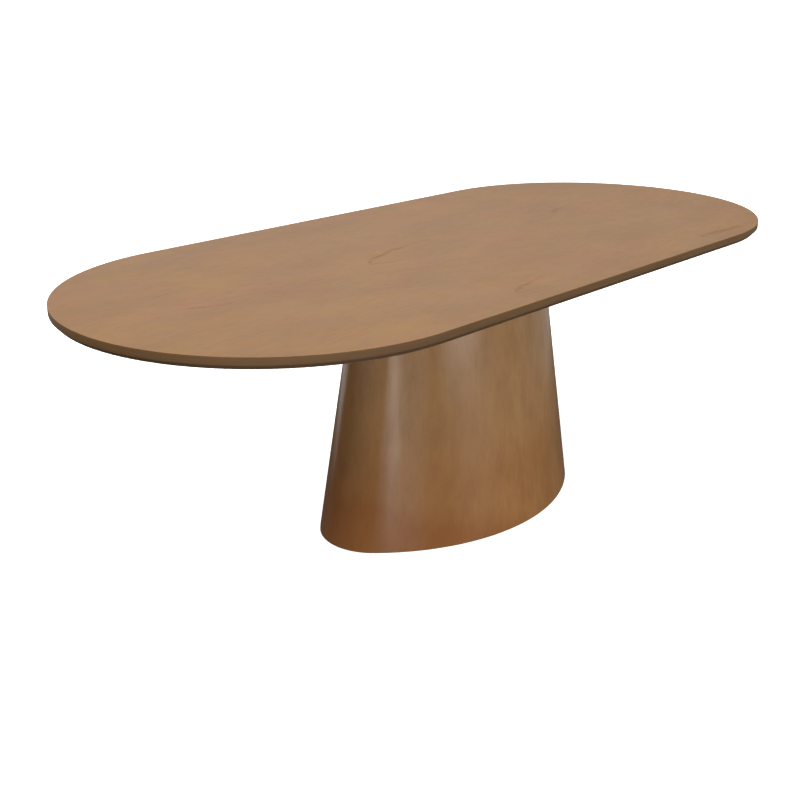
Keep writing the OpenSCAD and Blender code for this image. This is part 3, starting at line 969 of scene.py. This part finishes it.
# Where each soft box stands as seen from the table, and how wide, tall and rolled it looks, in degrees. The
# low ones also stand for the pale floor round the table, which gives no light to the table itself.
SOFT_BOXES = {
    "high_box": SoftBox(-144, 50, 50, 30, 0, 3.2),
    "left_sky": SoftBox(178, 42, 50, 12, 0, 1.0),
    "front_box": SoftBox(-89, 5, 24, 14, 0, 7.1),
    "strip": SoftBox(-135, 0, 2.5, 24, 28, 10.2),
    "strip_foot": SoftBox(-128, -9, 3, 12, 40, 0.85),
    "near_fill": SoftBox(-119, -4, 12, 22, 0, 1.0),
    "front_fill": SoftBox(-76, -4, 26, 22, 0, 0.7),
    "front_right_fill": SoftBox(-45, -4, 36, 22, 0, 0.38),
    "right_fill": SoftBox(3, -4, 60, 22, 0, 0.32),
    "left_fill": SoftBox(178, 5, 76, 14, 0, 0.85, (1.0, 0.86, 0.72)),
    "rear_left_fill": SoftBox(88, -4, 36, 22, 0, 0.85),
    "under_fill": SoftBox(0, -90, 60, 60, 0, 0.3),
    "rear_sky": SoftBox(51, 28, 60, 14, 0, 1.57),
    "rear_low": SoftBox(52, 6, 30, 8, 0, 0.6),
}


def soft_box(name, box, strength, aim=(0.0, 0.0, 0.4), distance=10.0):
    """Rectangular light far off that faces its aim. All of the table gets the same from it."""
    aim = Vector(aim)
    azimuth = math.radians(box.azimuth)
    elevation = math.radians(box.elevation)
    level = math.cos(elevation)
    towards = Vector((level * math.cos(azimuth), level * math.sin(azimuth), math.sin(elevation)))
    data = bpy.data.lights.new(name, "AREA")
    data.shape = "RECTANGLE"
    data.size = 2 * distance * math.tan(math.radians(box.wide) / 2)
    data.size_y = 2 * distance * math.tan(math.radians(box.tall) / 2)
    data.energy = strength * box.radiance * math.pi * data.size * data.size_y
    data.color = box.colour
    light = in_scene(name, data)
    light.location = aim + distance * towards
    facing = (-towards).to_track_quat("-Z", "Y")
    light.rotation_euler = (facing @ Quaternion((0, 0, 1), math.radians(box.roll))).to_euler()
    light.visible_camera = False


def floor_finish(name, colour, glow):
    """Pale floor with a glow, clear from below, so that the underside can be looked at."""
    f = Finish(name)
    f.surface(Base_Color=colour, Roughness=0.9, Emission_Color=WHITE, Emission_Strength=glow)
    facing_away = f.node("NewGeometry").outputs["Backfacing"]
    clear = f.node("BsdfTransparent").outputs["BSDF"]
    mixed = f.node("MixShader", facing_away, f.shader.outputs["BSDF"], clear)
    f.feed(f.output.inputs["Surface"], mixed.outputs["Shader"])
    return f.material


def floor_sheet(name, grid, finish):
    """Sheet of the stage, made of a grid whose rows go round and whose columns start in the middle.

    It takes nothing away from the light on the table and gives none back.
    """
    rows, columns = grid.shape[:2]
    faces = woven(rows, columns, True, False)[:, ::-1].tolist()
    sheet = make_object(name, grid, faces, finish)
    sheet.visible_diffuse = False
    sheet.visible_glossy = False
    sheet.visible_shadow = False


def studio_floor(studio, pedestal, reach=8.0, curve=3.0, turns=96, inside=0.001, lift=0.0002):
    """Round floor: a flat disc, a quarter circle with the radius of the curve, and an upright wall.

    A sheet without the glow lies just above it under the pedestal, a little inside its outline, so the gap
    there is dark.
    """
    angle = np.linspace(0, math.pi / 2, 17)
    radius = np.concatenate([[0.0, 2.0, 4.0], reach - curve + curve * np.sin(angle), [reach]])
    height = np.concatenate([[0.0, 0.0, 0.0], curve * (1 - np.cos(angle)), [2 * curve]])
    turn = np.linspace(0, math.tau, turns + 1)[:-1]
    rings = np.broadcast_to(radius, (turns, len(radius)))
    grid = turned_grid(np.zeros((1, 2)), rings, height, turn)[0]
    floor_sheet("studio_floor", grid, floor_finish("studio_floor_finish", studio.floor, studio.glow))

    oval = oval_outline(pedestal, 0.0, math.tau, 180, closed=True)
    rim = oval.middle + (oval.radius[:, None] - inside) * oval.facing
    grid = np.dstack([np.stack([0 * rim, rim], axis=1), np.full((len(rim), 2), lift)])
    floor_sheet("shaded_floor", grid, floor_finish("shaded_floor_finish", studio.floor, 0.0))


# Light from all round: how far up, from 0 straight down to 1 straight up, and its radiance there
SKY_STOPS = ((0.0, 0.06), (0.56, 0.06), (0.62, 0.26), (0.92, 0.26), (0.945, 3.1), (1.0, 3.1))


def studio_world(strength):
    """Soft surroundings: dark up to a little above the horizon, dim above that and bright overhead."""
    world = bpy.data.worlds.new("studio")
    world.use_nodes = True
    graph = Graph(world.node_tree)
    up = graph.split(graph.node("TexCoord").outputs["Generated"])[2]
    grade = graph.node("ValToRGB", graph.math("MULTIPLY_ADD", up, 0.5, 0.5))
    background = graph.node("Background", grade.outputs["Color"], strength)
    graph.node("OutputWorld", background.outputs["Background"])
    greys = [(value, value, value, 1.0) for _, value in SKY_STOPS]
    stops = grade.color_ramp.elements
    stops[0].color = greys[0]
    stops[1].color = greys[-1]
    for (place, _), grey in zip(SKY_STOPS[1:-1], greys[1:-1]):
        stops.new(place).color = grey
    bpy.context.scene.world = world


class TABLE_OT_stage(Operator):
    """Pale floor, soft studio lights and the camera"""

    bl_idname = "table.stage"
    bl_label = "Stage"

    def execute(self, context):
        studio = context.scene.table_studio
        studio_floor(studio, context.scene.table_pedestal)
        studio_world(studio.sky)
        for name, box in SOFT_BOXES.items():
            soft_box(name, box, studio.boxes)
        data = bpy.data.cameras.new("photo_camera")
        data.lens = studio.lens
        data.sensor_width = 36.0
        data.clip_start = 0.05
        data.clip_end = 60.0
        camera = in_scene("photo_camera", data)
        camera.location = studio.camera_from
        aim = Vector(studio.camera_at) - Vector(studio.camera_from)
        camera.rotation_euler = aim.to_track_quat("-Z", "Y").to_euler()
        context.scene.camera = camera
        context.scene.view_settings.view_transform = "Standard"
        return {"FINISHED"}


class TABLE_PT_sidebar(Panel):
    """Sidebar panel that lists the table's sizes, colours and pieces"""

    bl_label = "Oval Dining Table"
    bl_idname = "TABLE_PT_sidebar"
    bl_space_type = "VIEW_3D"
    bl_region_type = "UI"
    bl_category = "Table"

    def draw(self, context):
        layout = self.layout
        for group in SETTINGS:
            box = layout.box()
            box.label(text=group.removeprefix("table_").title())
            values = getattr(context.scene, group)
            for name in values.bl_rna.properties.keys():
                if name not in ("rna_type", "name"):
                    box.prop(values, name)
        column = layout.column(align=True)
        for operator in PIECES:
            column.operator(operator.bl_idname)


SETTINGS = {
    "table_top": TopSizes,
    "table_pedestal": PedestalSizes,
    "table_fasteners": FastenerSizes,
    "table_finishes": Finishes,
    "table_studio": Studio,
}
PIECES = (
    TABLE_OT_stage,
    TABLE_OT_top_face,
    TABLE_OT_lippings,
    TABLE_OT_top_inside,
    TABLE_OT_pedestal_face,
    TABLE_OT_shells,
    TABLE_OT_formers_and_ribs,
    TABLE_OT_steel_and_brass,
    TABLE_OT_table_bolts,
    TABLE_OT_feet,
)
CLASSES = (*SETTINGS.values(), *PIECES, TABLE_PT_sidebar)


def register():
    """Registers the classes and gives the scene its settings."""
    for item in CLASSES:
        bpy.utils.register_class(item)
    for name, group in SETTINGS.items():
        setattr(bpy.types.Scene, name, PointerProperty(type=group))


def unregister():
    """Takes the settings and the classes away again."""
    for name in SETTINGS:
        delattr(bpy.types.Scene, name)
    for item in reversed(CLASSES):
        bpy.utils.unregister_class(item)


def main():
    """Makes the table and its stage."""
    register()
    for operator in PIECES:
        getattr(bpy.ops.table, operator.bl_idname.removeprefix("table."))()


if __name__ == "__main__":
    main()
